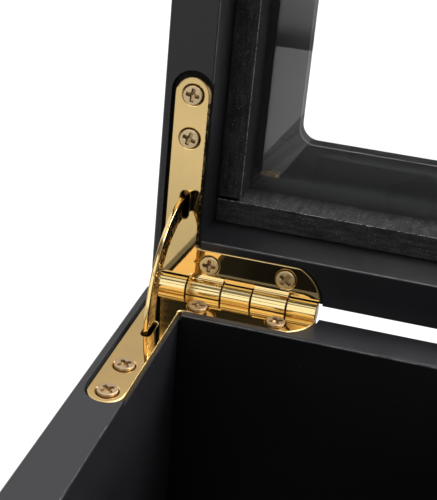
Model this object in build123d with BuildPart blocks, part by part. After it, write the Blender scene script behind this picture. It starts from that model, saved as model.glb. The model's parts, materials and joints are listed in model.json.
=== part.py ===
from build123d import *
import math
import os

os.makedirs("parts", exist_ok=True)

# ---------------------------------------------------------------- driving sizes, mm
W = 301.0            # outside width, X
D = 220.0            # outside depth, Y
T = 10.2             # thickness of the front and rear walls and lid rails
SIDE_T = 10.7        # the same of the left and right ones
Z_FELT = 1.0         # felt under the box
Z_RIM = 66.0         # height of the box rim
FLOOR_T = 4.0        # bottom panel thickness
REBATE = 5.0         # rebate of the walls that takes the bottom panel
EDGE_R = 0.7         # rounding of the lacquered outer edges
INNER_R = 0.3        # the same on the inner edges of the rims
CORNER_R = 1.2       # rounding of the upright corners

RIM_GAP = 0.45       # rim below the hinge axis, and lid rim above it when shut
AXIS_BACK = 1.4      # hinge axis behind the rear face
OPEN_DEG = 93.8      # lid angle against its stays, which is the rest pose
HY = D / 2 + AXIS_BACK
HZ = Z_RIM + RIM_GAP

LID_H = 27.0         # height of the lid rails
TOP_T = 5.3          # thickness of the lid's top panel
WIN_SIDE = 26.0      # width of the top panel beside the window, left and right
WIN_END = 28.5       # the same in front of and behind the window
WIN_R = 4.0          # window corner radius
GLASS_T = 2.5
STRIP_W = 5.6        # pane strips: width
STRIP_H = 10.6       # pane strips: height

# quadrant hinge
HX = -W / 2 + 2.5    # outer edge of the left hinge
LEAF_T = 1.3
LEAF_Z = 0.7         # leaf surface to hinge axis
LEG_W = 7.8
LEG_TIP = 48.8
BACK_S = 9.66        # front edge of the rear arm
BACK_X = 37.4        # end of the rear arm
BARREL_R = 2.3
PIN_R = 1.1
PIN_PLAY = 0.05      # radial play of the pin in the lid knuckles
KNUCKLES = [0.15, 6.7, 14.9, 21.9, 30.1, 37.0]
KNUCKLE_GAP = 0.075
CUT_S = 2.45         # leaf cut back around the other leaf's knuckles
SLOT_S = (16.2, 22.9)
SLOT_X = (3.0, 5.1)
BODY_SCREWS = [(4.0, 35.1), (4.0, 44.9), (11.1, 6.6), (29.0, 6.6)]
LID_SCREWS = [(4.0, 35.1), (4.0, 44.9), (11.1, 6.05), (28.85, 6.25)]
HEAD_R = 2.2
LEAF_IN_R = 0.7      # hollow corner between leg and arm
BED_SIDE = (0.75, 0.85)  # clearance of the routed beds beside the leg, box and lid
BED_TIP = (0.3, 1.5)     # the same at the leg's tip
SHANK_R = 1.1
SHANK_L = 9.5
DOME = 0.6

# stay
STAY_RI = 16.7
STAY_RO = 21.7
NIB_R = 24.2
STAY_T = 1.0
STAY_X = 3.35
STAY_END = 8.0       # how far the stay reaches past each leaf surface, degrees
NIB_DEG = 2.0        # thickness of the nib, degrees
MORTISE_X = (2.75, 5.35)
MORTISE_R = (15.6, 25.0)
MORTISE_DEG = 60.0

# dividers
DIV_T = 4.0
DIV_TOP = 57.0
DIV_PLAY = 0.4       # at the ends
SLOT_PLAY = 0.15     # each side of a divider in a slot

# ---------------------------------------------------------------- frames
PHI = math.radians(OPEN_DEG)
# origin on the hinge axis at mid width, y towards the rear, z up: frame of the box's hinge parts
BOX = Plane(origin=(0, HY, HZ), x_dir=(1, 0, 0), z_dir=(0, 0, 1))
# the same frame turned with the open lid; with the lid shut it coincides with BOX
LID = Plane(
    origin=(0, HY, HZ), x_dir=(1, 0, 0), z_dir=(0, math.sin(PHI), math.cos(PHI))
)
Y_MID = -(AXIS_BACK + D / 2)  # middle of the box in those frames


def in_frame(frame, x, y, z):
    """point of the part from coordinates in a frame"""
    return frame.from_local_coords(Vector(x, y, z))


def direction(frame, x, y, z):
    """direction in the part from a direction in a frame"""
    return in_frame(frame, x, y, z) - in_frame(frame, 0, 0, 0)


def level(frame, z):
    """plane of a frame at height z above the hinge axis"""
    return Plane(
        origin=in_frame(frame, 0, 0, z), x_dir=frame.x_dir, z_dir=frame.z_dir
    )


def side_plane(frame, x):
    """upright plane at x, its own x axis towards the front of the frame and its y axis along the frame's z"""
    return Plane(
        origin=in_frame(frame, x, 0, 0),
        x_dir=direction(frame, 0, -1, 0),
        z_dir=direction(frame, -1, 0, 0),
    )


def cross_plane(frame, x):
    """plane square to the hinge axis at x, facing +X"""
    return Plane(
        origin=in_frame(frame, x, 0, 0),
        x_dir=direction(frame, 0, 1, 0),
        z_dir=direction(frame, 1, 0, 0),
    )


def screw_places(side):
    return BODY_SCREWS if side < 0 else LID_SCREWS


# ---------------------------------------------------------------- hinge outlines
def leaf_outline(plane):
    """L-shaped outline of a leaf: a leg with a round tip and a rear arm with a swept end"""
    r = LEAF_IN_R
    with BuildSketch(plane) as sk:
        with BuildLine():
            Polyline((HX, 0), (HX, -(LEG_TIP - LEG_W / 2)))
            ThreePointArc(
                (HX, -(LEG_TIP - LEG_W / 2)),
                (HX + LEG_W / 2, -LEG_TIP),
                (HX + LEG_W, -(LEG_TIP - LEG_W / 2)),
            )
            Line(
                (HX + LEG_W, -(LEG_TIP - LEG_W / 2)), (HX + LEG_W, -(BACK_S + r))
            )
            ThreePointArc(
                (HX + LEG_W, -(BACK_S + r)),
                (HX + LEG_W + 0.2929 * r, -(BACK_S + 0.2929 * r)),
                (HX + LEG_W + r, -BACK_S),
            )
            Line((HX + LEG_W + r, -BACK_S), (HX + 31.9, -BACK_S))
            ThreePointArc(
                (HX + 31.9, -BACK_S), (HX + 35.8, -6.3), (HX + BACK_X, -0.9)
            )
            Polyline((HX + BACK_X, -0.9), (HX + BACK_X, 0), (HX, 0))
        make_face()
    return sk.sketch


def bed_outline(plane, side):
    """outline of the routed bed for a leaf, a little larger, open to the rear and to the inside of the leg's wall"""
    gap = BED_SIDE[0 if side < 0 else 1]
    tip = -(LEG_TIP + BED_TIP[0 if side < 0 else 1])
    shoulder = tip + (8.8 + gap) / 2
    with BuildSketch(plane) as sk:
        with BuildLine():
            Polyline((HX - gap, 3.0), (HX - gap, shoulder))
            ThreePointArc(
                (HX - gap, shoulder), (HX + 4.2, tip), (HX + 8.8, shoulder)
            )
            Polyline((HX + 8.8, shoulder), (HX + 8.8, -9.95), (HX + 32.3, -9.95))
            ThreePointArc(
                (HX + 32.3, -9.95), (HX + 36.3, -6.65), (HX + 37.8, -0.9)
            )
            Polyline((HX + 37.8, -0.9), (HX + 37.8, 3.0), (HX - gap, 3.0))
        make_face()
    return sk.sketch


def mortise_outline(frame, side):
    """ring sector swept by the stay inside a wall; side is -1 for the box and +1 for the lid"""
    plane = side_plane(frame, HX + MORTISE_X[1])
    a0, a1 = math.radians(4.0), math.radians(MORTISE_DEG)
    ri, ro = MORTISE_R

    def at(r, a):
        return (r * math.cos(a), side * r * math.sin(a))

    with BuildSketch(plane) as sk:
        with BuildLine():
            ThreePointArc(at(ro, -a0), at(ro, (a1 - a0) / 2), at(ro, a1))
            Line(at(ro, a1), at(ri, a1))
            ThreePointArc(at(ri, a1), at(ri, (a1 - a0) / 2), at(ri, -a0))
            Line(at(ri, -a0), at(ro, -a0))
        make_face()
    return sk.sketch


def hinge_cuts(frame, side):
    """everything that a left hinge takes out of the wood around it: bed, mortise and pilot holes"""
    floor = side * (LEAF_Z + LEAF_T)
    bed = bed_outline(level(frame, floor), side)
    mortise = mortise_outline(frame, side)
    with BuildPart() as cuts:
        extrude(bed, amount=-side * 3.0)
        extrude(mortise, amount=MORTISE_X[1] - MORTISE_X[0])
        for x, s in screw_places(side):
            with BuildSketch(level(frame, floor)):
                with Locations((HX + x, -s)):
                    Circle(SHANK_R)
            extrude(amount=side * (SHANK_L + 0.5))
    return cuts.part


# ---------------------------------------------------------------- frames of wood
def ring(frame, z0, z1, centre_y, soft_z):
    """four-sided frame of wood between two heights, its rim rounded at soft_z"""
    with BuildPart() as r:
        with BuildSketch(level(frame, z0)):
            with Locations((0, centre_y)):
                RectangleRounded(W, D, CORNER_R)
                Rectangle(W - 2 * SIDE_T, D - 2 * T, mode=Mode.SUBTRACT)
        extrude(amount=z1 - z0)
        def inner(e):
            c = frame.to_local_coords(e.center())
            return abs(c.X) < W / 2 - SIDE_T + 0.1 and abs(c.Y - centre_y) < D / 2 - T + 0.1

        def at_rim(e):
            return abs(frame.to_local_coords(e.center()).Z - soft_z) < 0.01

        fillet(r.edges().filter_by(lambda e: at_rim(e) and inner(e)), radius=INNER_R)
        fillet(r.edges().filter_by(lambda e: at_rim(e) and not inner(e)), radius=EDGE_R)
    return r.part


def corner_planes(frame, centre_y):
    """mitre planes: name of the corner -> (corner point)"""
    return {
        (sx, sy): in_frame(frame, sx * W / 2, centre_y + sy * D / 2, 0)
        for sx in (-1, 1)
        for sy in (-1, 1)
    }


def mitre(frame, centre_y, which):
    """the two planes that bound one side of a mitred frame, each facing the side's material"""
    c = corner_planes(frame, centre_y)
    if which == "left":
        return [
            Plane(origin=c[-1, -1], z_dir=direction(frame, -1, 1, 0)),
            Plane(origin=c[-1, 1], z_dir=direction(frame, -1, -1, 0)),
        ]
    if which == "right":
        return [
            Plane(origin=c[1, -1], z_dir=direction(frame, 1, 1, 0)),
            Plane(origin=c[1, 1], z_dir=direction(frame, 1, -1, 0)),
        ]
    if which == "front":
        return [
            Plane(origin=c[-1, -1], z_dir=direction(frame, 1, -1, 0)),
            Plane(origin=c[1, -1], z_dir=direction(frame, -1, -1, 0)),
        ]
    return [
        Plane(origin=c[-1, 1], z_dir=direction(frame, 1, 1, 0)),
        Plane(origin=c[1, 1], z_dir=direction(frame, -1, 1, 0)),
    ]


# box walls: one ring with a rebate for the bottom panel, then cut at the mitres
box_cuts = hinge_cuts(BOX, -1)
box_ring_blank = ring(BOX, Z_FELT - HZ, Z_RIM - HZ, Y_MID, Z_RIM - HZ)
with BuildPart() as box_ring:
    add(box_ring_blank)
    with BuildSketch(Plane.XY.offset(Z_FELT)):
        Rectangle(W - 2 * SIDE_T + 2 * REBATE, D - 2 * T + 2 * REBATE)
    extrude(amount=FLOOR_T, mode=Mode.SUBTRACT)
    add(box_cuts, mode=Mode.SUBTRACT)
    add(mirror(box_cuts, about=Plane.YZ, mode=Mode.PRIVATE), mode=Mode.SUBTRACT)


def box_wall(which):
    with BuildPart() as wall:
        add(box_ring.part)
        for plane in mitre(BOX, Y_MID, which):
            split(bisect_by=plane, keep=Keep.TOP)
    return wall.part


with BuildPart() as front_wall:
    add(box_wall("front"))
    # finger scoop under the lid's front edge
    with BuildSketch(Plane.XY.offset(Z_RIM - 5.5)):
        with Locations((0, -D / 2 - 52.5)):
            Circle(55.5)
    extrude(amount=8.0, mode=Mode.SUBTRACT)

with BuildPart() as back_wall:
    add(box_wall("back"))

with BuildPart() as left_wall:
    add(box_wall("left"))

with BuildPart() as right_wall:
    add(box_wall("right"))

with BuildPart() as bottom_panel:
    with BuildSketch(Plane.XY.offset(Z_FELT)):
        Rectangle(W - 2 * SIDE_T + 2 * REBATE, D - 2 * T + 2 * REBATE)
    extrude(amount=FLOOR_T)

with BuildPart() as base_felt:
    with BuildSketch(Plane.XY):
        RectangleRounded(W - 4.0, D - 3.0, 1.5)
    extrude(amount=Z_FELT)

# ---------------------------------------------------------------- lid
lid_cuts = hinge_cuts(LID, 1)
Z0 = RIM_GAP
Z1 = Z0 + LID_H
Z2 = Z1 + TOP_T
lid_ring_blank = ring(LID, Z0, Z1, Y_MID, Z0)
with BuildPart() as lid_ring:
    add(lid_ring_blank)
    add(lid_cuts, mode=Mode.SUBTRACT)
    add(mirror(lid_cuts, about=Plane.YZ, mode=Mode.PRIVATE), mode=Mode.SUBTRACT)


def lid_rail(which):
    with BuildPart() as rail:
        add(lid_ring.part)
        for plane in mitre(LID, Y_MID, which):
            split(bisect_by=plane, keep=Keep.TOP)
    return rail.part


with BuildPart() as lid_front_rail:
    add(lid_rail("front"))

with BuildPart() as lid_back_rail:
    add(lid_rail("back"))

with BuildPart() as lid_left_rail:
    add(lid_rail("left"))

with BuildPart() as lid_right_rail:
    add(lid_rail("right"))

with BuildPart() as lid_top_panel:
    with BuildSketch(level(LID, Z1)):
        with Locations((0, Y_MID)):
            RectangleRounded(W, D, CORNER_R)
            RectangleRounded(
                W - 2 * WIN_SIDE, D - 2 * WIN_END, WIN_R, mode=Mode.SUBTRACT
            )
    extrude(amount=TOP_T)
    outer_rim = lid_top_panel.edges().filter_by(
        lambda e: abs(LID.to_local_coords(e.center()).Z - Z2) < 0.01
    )
    fillet(outer_rim, radius=EDGE_R)

with BuildPart() as window_pane:
    with BuildSketch(level(LID, Z1 - GLASS_T)):
        with Locations((0, Y_MID)):
            Rectangle(W - 2 * SIDE_T - 1.0, D - 2 * T - 1.0)
    extrude(amount=GLASS_T)

S_IN = AXIS_BACK + T                # inner face of the rear rail
S_OUT = AXIS_BACK + D - T           # inner face of the front rail
X_IN = W / 2 - SIDE_T               # inner face of the side rails
ZS = Z1 - GLASS_T - STRIP_H         # free face of the pane strips


def strip(x0, x1, s0, s1):
    with BuildPart() as st:
        with BuildSketch(level(LID, ZS)):
            with Locations(((x0 + x1) / 2, -(s0 + s1) / 2)):
                Rectangle(x1 - x0, s1 - s0)
        extrude(amount=STRIP_H)
        free = st.edges().filter_by(
            lambda e: abs(LID.to_local_coords(e.center()).Z - ZS) < 0.01
        )
        chamfer(free, length=0.3)
    return st.part


with BuildPart() as pane_strip_back:
    add(strip(-X_IN, X_IN, S_IN, S_IN + STRIP_W))

with BuildPart() as pane_strip_front:
    add(strip(-X_IN, X_IN, S_OUT - STRIP_W, S_OUT))

with BuildPart() as pane_strip_left:
    add(strip(-X_IN, -X_IN + STRIP_W, S_IN + STRIP_W + 0.7, S_OUT - STRIP_W - 0.7))

with BuildPart() as pane_strip_right:
    add(strip(X_IN - STRIP_W, X_IN, S_IN + STRIP_W + 0.7, S_OUT - STRIP_W - 0.7))


# ---------------------------------------------------------------- hinges
def owned(side):
    """knuckles of a leaf: first, third and fifth on the box, second and fourth on the lid"""
    first = 0 if side < 0 else 1
    return [
        (KNUCKLES[i] + KNUCKLE_GAP, KNUCKLES[i + 1] - KNUCKLE_GAP)
        for i in range(first, 5, 2)
    ]


def others(side):
    first = 1 if side < 0 else 0
    out = [(KNUCKLES[i], KNUCKLES[i + 1]) for i in range(first, 5, 2)]
    if side > 0:
        out[0] = (-1.0, out[0][1])
        out[-1] = (out[-1][0], BACK_X + 1.0)
    return out


def leaf(frame, side, bore):
    surface = level(frame, side * LEAF_Z)
    outline = leaf_outline(surface)
    with BuildPart() as lf:
        extrude(outline, amount=side * LEAF_T)
        face_edges = lf.edges().filter_by(
            lambda e: abs(frame.to_local_coords(e.center()).Z - side * LEAF_Z) < 0.01
            and frame.to_local_coords(e.center()).Y < -0.95
            and abs(frame.to_local_coords(e.center()).X - HX) > 0.01
        )
        chamfer(face_edges, length=0.25)
        for x0, x1 in others(side):
            with BuildSketch(surface):
                with Locations((HX + (x0 + x1) / 2, (3.0 - CUT_S) / 2)):
                    Rectangle(x1 - x0, 3.0 + CUT_S)
            extrude(amount=side * LEAF_T, mode=Mode.SUBTRACT)
        for x0, x1 in owned(side):
            with BuildSketch(cross_plane(frame, HX + x0)):
                Circle(BARREL_R)
            extrude(amount=x1 - x0)
        with BuildSketch(cross_plane(frame, HX - 1.0)):
            Circle(bore)
        extrude(amount=BACK_X + 3.0, mode=Mode.SUBTRACT)
        with BuildSketch(surface):
            with Locations((HX + sum(SLOT_X) / 2, -sum(SLOT_S) / 2)):
                SlotOverall(
                    SLOT_S[1] - SLOT_S[0], SLOT_X[1] - SLOT_X[0], rotation=90
                )
        extrude(amount=side * LEAF_T, mode=Mode.SUBTRACT)
        for x, s in screw_places(side):
            with BuildSketch(
                Plane(
                    origin=in_frame(frame, HX + x, -s, side * LEAF_Z),
                    x_dir=direction(frame, 1, 0, 0),
                    z_dir=direction(frame, 0, -side, 0),
                )
            ):
                with BuildLine():
                    Polyline(
                        (0, -0.2),
                        (HEAD_R + 0.05, -0.2),
                        (HEAD_R + 0.05, 0),
                        (SHANK_R + 0.15, LEAF_T),
                        (0, LEAF_T),
                        (0, -0.2),
                    )
                make_face()
            revolve(
                axis=Axis(
                    in_frame(frame, HX + x, -s, 0), direction(frame, 0, 0, 1)
                ),
                mode=Mode.SUBTRACT,
            )
    return lf.part


def screws(frame, side):
    """four countersunk screws with raised heads and cross recesses"""
    with BuildPart() as sc:
        for x, s in screw_places(side):
            with BuildSketch(
                Plane(
                    origin=in_frame(frame, HX + x, -s, side * LEAF_Z),
                    x_dir=direction(frame, 1, 0, 0),
                    z_dir=direction(frame, 0, -side, 0),
                )
            ):
                with BuildLine():
                    ThreePointArc(
                        (0, -DOME), (HEAD_R * 0.55, -DOME * 0.72), (HEAD_R, 0)
                    )
                    Polyline(
                        (HEAD_R, 0),
                        (SHANK_R, LEAF_T - 0.05),
                        (SHANK_R, LEAF_T + SHANK_L - 2.0),
                        (0, LEAF_T + SHANK_L),
                        (0, -DOME),
                    )
                make_face()
            revolve(
                axis=Axis(in_frame(frame, HX + x, -s, 0), direction(frame, 0, 0, 1))
            )
            with BuildSketch(level(frame, side * (LEAF_Z - DOME - 0.1))):
                with Locations((HX + x, -s)):
                    Rectangle(2.7, 0.7)
                    Rectangle(0.7, 2.7)
            extrude(amount=side * 1.3, mode=Mode.SUBTRACT)
    return sc.part


def stay():
    """curved stay about the hinge axis; a nib at each end catches behind a leaf"""
    plane = side_plane(BOX, HX + STAY_X + STAY_T)
    a0 = math.radians(-STAY_END)
    a1 = math.radians(OPEN_DEG + STAY_END)
    n = math.radians(NIB_DEG)

    def at(r, a):
        return (r * math.cos(a), r * math.sin(a))

    with BuildPart() as st:
        with BuildSketch(plane):
            with BuildLine():
                ThreePointArc(
                    at(STAY_RI, a0), at(STAY_RI, (a0 + a1) / 2), at(STAY_RI, a1)
                )
                Line(at(STAY_RI, a1), at(NIB_R, a1))
                ThreePointArc(at(NIB_R, a1), at(NIB_R, a1 - n / 2), at(NIB_R, a1 - n))
                Line(at(NIB_R, a1 - n), at(STAY_RO, a1 - n))
                ThreePointArc(
                    at(STAY_RO, a1 - n), at(STAY_RO, (a0 + a1) / 2), at(STAY_RO, a0 + n)
                )
                Line(at(STAY_RO, a0 + n), at(NIB_R, a0 + n))
                ThreePointArc(at(NIB_R, a0 + n), at(NIB_R, a0 + n / 2), at(NIB_R, a0))
                Line(at(NIB_R, a0), at(STAY_RI, a0))
            make_face()
        extrude(amount=STAY_T)
    return st.part


def pin():
    with BuildPart() as p:
        with BuildSketch(cross_plane(BOX, HX + KNUCKLES[0] + KNUCKLE_GAP)):
            Circle(PIN_R)
        extrude(amount=KNUCKLES[-1] - KNUCKLES[0] - 2 * KNUCKLE_GAP)
    return p.part


with BuildPart() as left_body_leaf:
    add(leaf(BOX, -1, PIN_R))

with BuildPart() as left_lid_leaf:
    add(leaf(LID, 1, PIN_R + PIN_PLAY))

with BuildPart() as left_body_screws:
    add(screws(BOX, -1))

with BuildPart() as left_lid_screws:
    add(screws(LID, 1))

with BuildPart() as left_hinge_pin:
    add(pin())

with BuildPart() as left_stay:
    add(stay())

with BuildPart() as right_body_leaf:
    mirror(left_body_leaf.part, about=Plane.YZ)

with BuildPart() as right_lid_leaf:
    mirror(left_lid_leaf.part, about=Plane.YZ)

with BuildPart() as right_body_screws:
    mirror(left_body_screws.part, about=Plane.YZ)

with BuildPart() as right_lid_screws:
    mirror(left_lid_screws.part, about=Plane.YZ)

with BuildPart() as right_hinge_pin:
    mirror(left_hinge_pin.part, about=Plane.YZ)

with BuildPart() as right_stay:
    mirror(left_stay.part, about=Plane.YZ)

# ---------------------------------------------------------------- dividers
FLOOR_Z = Z_FELT + FLOOR_T
HALF_Z = (FLOOR_Z + DIV_TOP) / 2
IN_X = W - 2 * SIDE_T
IN_Y = D - 2 * T
PITCH = (IN_X - 3 * DIV_T) / 4 + DIV_T
CROSS_X = [-PITCH, 0.0, PITCH]

with BuildPart() as long_divider:
    with BuildSketch(Plane.XY.offset(FLOOR_Z)):
        Rectangle(IN_X - 2 * DIV_PLAY, DIV_T)
    extrude(amount=DIV_TOP - FLOOR_Z)
    # slots open upwards
    with BuildSketch(Plane.XY.offset(HALF_Z - 0.1)):
        with Locations(*[(x, 0) for x in CROSS_X]):
            Rectangle(DIV_T + 2 * SLOT_PLAY, DIV_T + 2)
    extrude(amount=DIV_TOP, mode=Mode.SUBTRACT)


def cross_divider(x):
    """cross divider with its slot open downwards"""
    with BuildPart() as cd:
        with BuildSketch(Plane.XY.offset(FLOOR_Z)):
            with Locations((x, 0)):
                Rectangle(DIV_T, IN_Y - 2 * DIV_PLAY)
        extrude(amount=DIV_TOP - FLOOR_Z)
        with BuildSketch(Plane.XY.offset(FLOOR_Z)):
            with Locations((x, 0)):
                Rectangle(DIV_T + 2, DIV_T + 2 * SLOT_PLAY)
        extrude(amount=HALF_Z + 0.1 - FLOOR_Z, mode=Mode.SUBTRACT)
    return cd.part


with BuildPart() as cross_divider_1:
    add(cross_divider(CROSS_X[0]))

with BuildPart() as cross_divider_2:
    add(cross_divider(CROSS_X[1]))

with BuildPart() as cross_divider_3:
    add(cross_divider(CROSS_X[2]))

# ---------------------------------------------------------------- write the pieces
front_wall.part.label = "front_wall"
export_step(front_wall.part, "parts/front_wall.step")
back_wall.part.label = "back_wall"
export_step(back_wall.part, "parts/back_wall.step")
left_wall.part.label = "left_wall"
export_step(left_wall.part, "parts/left_wall.step")
right_wall.part.label = "right_wall"
export_step(right_wall.part, "parts/right_wall.step")
bottom_panel.part.label = "bottom_panel"
export_step(bottom_panel.part, "parts/bottom_panel.step")
base_felt.part.label = "base_felt"
export_step(base_felt.part, "parts/base_felt.step")
lid_front_rail.part.label = "lid_front_rail"
export_step(lid_front_rail.part, "parts/lid_front_rail.step")
lid_back_rail.part.label = "lid_back_rail"
export_step(lid_back_rail.part, "parts/lid_back_rail.step")
lid_left_rail.part.label = "lid_left_rail"
export_step(lid_left_rail.part, "parts/lid_left_rail.step")
lid_right_rail.part.label = "lid_right_rail"
export_step(lid_right_rail.part, "parts/lid_right_rail.step")
lid_top_panel.part.label = "lid_top_panel"
export_step(lid_top_panel.part, "parts/lid_top_panel.step")
window_pane.part.label = "window_pane"
export_step(window_pane.part, "parts/window_pane.step")
pane_strip_front.part.label = "pane_strip_front"
export_step(pane_strip_front.part, "parts/pane_strip_front.step")
pane_strip_back.part.label = "pane_strip_back"
export_step(pane_strip_back.part, "parts/pane_strip_back.step")
pane_strip_left.part.label = "pane_strip_left"
export_step(pane_strip_left.part, "parts/pane_strip_left.step")
pane_strip_right.part.label = "pane_strip_right"
export_step(pane_strip_right.part, "parts/pane_strip_right.step")
left_body_leaf.part.label = "left_body_leaf"
export_step(left_body_leaf.part, "parts/left_body_leaf.step")
right_body_leaf.part.label = "right_body_leaf"
export_step(right_body_leaf.part, "parts/right_body_leaf.step")
left_lid_leaf.part.label = "left_lid_leaf"
export_step(left_lid_leaf.part, "parts/left_lid_leaf.step")
right_lid_leaf.part.label = "right_lid_leaf"
export_step(right_lid_leaf.part, "parts/right_lid_leaf.step")
left_hinge_pin.part.label = "left_hinge_pin"
export_step(left_hinge_pin.part, "parts/left_hinge_pin.step")
right_hinge_pin.part.label = "right_hinge_pin"
export_step(right_hinge_pin.part, "parts/right_hinge_pin.step")
left_body_screws.part.label = "left_body_screws"
export_step(left_body_screws.part, "parts/left_body_screws.step")
right_body_screws.part.label = "right_body_screws"
export_step(right_body_screws.part, "parts/right_body_screws.step")
left_lid_screws.part.label = "left_lid_screws"
export_step(left_lid_screws.part, "parts/left_lid_screws.step")
right_lid_screws.part.label = "right_lid_screws"
export_step(right_lid_screws.part, "parts/right_lid_screws.step")
left_stay.part.label = "left_stay"
export_step(left_stay.part, "parts/left_stay.step")
right_stay.part.label = "right_stay"
export_step(right_stay.part, "parts/right_stay.step")
long_divider.part.label = "long_divider"
export_step(long_divider.part, "parts/long_divider.step")
cross_divider_1.part.label = "cross_divider_1"
export_step(cross_divider_1.part, "parts/cross_divider_1.step")
cross_divider_2.part.label = "cross_divider_2"
export_step(cross_divider_2.part, "parts/cross_divider_2.step")
cross_divider_3.part.label = "cross_divider_3"
export_step(cross_divider_3.part, "parts/cross_divider_3.step")
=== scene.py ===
import json
import math
import random

import bpy
import bmesh
from mathutils import Matrix, Vector, noise
from mathutils.geometry import tessellate_polygon


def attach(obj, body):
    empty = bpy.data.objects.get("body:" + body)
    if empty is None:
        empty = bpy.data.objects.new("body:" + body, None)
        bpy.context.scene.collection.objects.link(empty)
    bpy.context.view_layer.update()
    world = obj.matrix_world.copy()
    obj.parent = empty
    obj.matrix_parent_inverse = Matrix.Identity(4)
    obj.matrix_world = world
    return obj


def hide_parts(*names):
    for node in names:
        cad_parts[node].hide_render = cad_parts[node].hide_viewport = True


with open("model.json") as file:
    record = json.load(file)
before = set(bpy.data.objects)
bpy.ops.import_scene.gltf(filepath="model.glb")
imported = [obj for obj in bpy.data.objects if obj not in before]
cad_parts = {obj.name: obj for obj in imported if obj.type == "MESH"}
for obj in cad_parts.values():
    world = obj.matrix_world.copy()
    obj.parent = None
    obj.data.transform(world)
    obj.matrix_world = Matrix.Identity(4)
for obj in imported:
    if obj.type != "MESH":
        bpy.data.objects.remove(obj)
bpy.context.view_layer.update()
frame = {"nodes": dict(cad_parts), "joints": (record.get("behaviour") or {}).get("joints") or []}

N = frame["nodes"]
MM = 0.001
scene = bpy.context.scene

# ------------------------------------------------------------------ sizes, mm
W, D, T, SIDE_T = 301.0, 220.0, 10.2, 10.7
HX = -W / 2 + 2.5
OPEN = math.radians(93.8)
HINGE = next(j for j in frame["joints"] if j["name"] == "lid_hinge")
HY, HZ = HINGE["pos_m"][1] * 1000, HINGE["pos_m"][2] * 1000

BOXM = Matrix.Translation((0, HY, HZ))
LIDM = BOXM @ Matrix.Rotation(-OPEN, 4, "X")
BOXI, LIDI = BOXM.inverted(), LIDM.inverted()

LEAF_Z, LEAF_T = 0.7, 1.3
LEG_W, LEG_TIP, ARM_S, ARM_X = 7.74, 48.8, 9.66, 37.4
BARREL_R = 2.3
KNUCKLES = [0.15, 6.7, 14.9, 21.9, 30.1, 37.0]
SLOT_S, SLOT_X = (16.2, 22.9), (3.0, 5.1)
BODY_SCREWS = [(4.0, 35.1), (4.0, 44.9), (11.1, 6.6), (29.0, 6.6)]
LID_SCREWS = [(4.0, 35.1), (4.0, 44.9), (11.1, 6.05), (28.85, 6.25)]
HEAD_R, PROUD = 2.16, 0.56
STAY_RI, STAY_RO, NIB_R = 16.7, 21.7, 24.2
STAY_X, STAY_T, STAY_END, NIB_DEG = 3.35, 1.0, 8.0, 2.0

LID_H, TOP_T, RIM_GAP, AXIS_BACK = 27.0, 5.3, 0.45, 1.4
GLASS_T, STRIP_W, STRIP_H = 2.5, 5.6, 10.6
WIN_SIDE, WIN_END, WIN_R = 26.0, 28.5, 4.0
S_IN, S_OUT, X_IN = AXIS_BACK + T, AXIS_BACK + D - T, W / 2 - SIDE_T
Z1 = RIM_GAP + LID_H
ZS = Z1 - GLASS_T - STRIP_H

# ------------------------------------------------------------------ camera
ROT = ((0.960414, 0.269057, 0.072202),
       (0.185213, -0.423116, -0.886943),
       (-0.208089, 0.865206, -0.456200))
cam_data = bpy.data.cameras.new("camera")
cam = bpy.data.objects.new("camera", cam_data)
scene.collection.objects.link(cam)
cam_data.lens = 1137.361 / 500 * 36
cam_data.sensor_width = 36.0
cam_data.sensor_fit = "AUTO"
cam_data.clip_start, cam_data.clip_end = 0.01, 20
place = (66.085 + HX, -219.946 + HY, 126.895 + HZ)
cm = Matrix.Identity(4)
for i in range(3):
    cm[i][0], cm[i][1], cm[i][2] = ROT[0][i], -ROT[1][i], -ROT[2][i]
    cm[i][3] = place[i] * MM
cam.matrix_world = cm
scene.camera = cam
scene.view_settings.view_transform = "Standard"


# ------------------------------------------------------------------ node helpers
class Nodes:
    """short way to write a node tree"""

    def __init__(self, tree):
        self.t = tree

    def new(self, kind, inputs=None, **props):
        n = self.t.nodes.new(kind)
        for k, v in props.items():
            setattr(n, k, v)
        for k, v in (inputs or {}).items():
            self.put(n.inputs[k], v)
        return n

    def put(self, socket, v):
        if isinstance(v, bpy.types.NodeSocket):
            self.t.links.new(v, socket)
        else:
            socket.default_value = v

    def math(self, op, a, b=0.0, clamp=False):
        return self.new("ShaderNodeMath", {0: a, 1: b}, operation=op, use_clamp=clamp).outputs[0]

    def vec(self, op, a, b=(0, 0, 0)):
        n = self.new("ShaderNodeVectorMath", {0: a, 1: b}, operation=op)
        return n.outputs[1] if op in ("DOT_PRODUCT", "LENGTH") else n.outputs[0]

    def ramp(self, v, a, b, lo=0.0, hi=1.0, kind="SMOOTHSTEP"):
        return self.new("ShaderNodeMapRange", {0: v, 1: a, 2: b, 3: lo, 4: hi},
                        interpolation_type=kind).outputs[0]

    def mix(self, f, a, b):
        n = self.new("ShaderNodeMix", data_type="RGBA")
        self.put(n.inputs[0], f)
        self.put(n.inputs[6], a)
        self.put(n.inputs[7], b)
        return n.outputs[2]

    def coords(self, scale=(1, 1, 1), turn=(0, 0, 0)):
        tc = self.new("ShaderNodeTexCoord")
        mp = self.new("ShaderNodeMapping", {"Vector": tc.outputs["Object"], "Scale": scale, "Rotation": turn})
        return mp.outputs[0]

    def noise(self, v, scale, detail=2.0, rough=0.5, distort=0.0):
        return self.new("ShaderNodeTexNoise", {"Vector": v, "Scale": scale, "Detail": detail,
                                               "Roughness": rough, "Distortion": distort}).outputs[0]

    def cells(self, v, scale, feature="F1", rand=1.0):
        return self.new("ShaderNodeTexVoronoi", {"Vector": v, "Scale": scale, "Randomness": rand},
                        feature=feature).outputs["Distance"]

    def bump(self, h, dist, strength=1.0, normal=None):
        n = self.new("ShaderNodeBump", {"Height": h, "Distance": dist, "Strength": strength})
        if normal is not None:
            self.put(n.inputs["Normal"], normal)
        return n.outputs[0]


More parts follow.
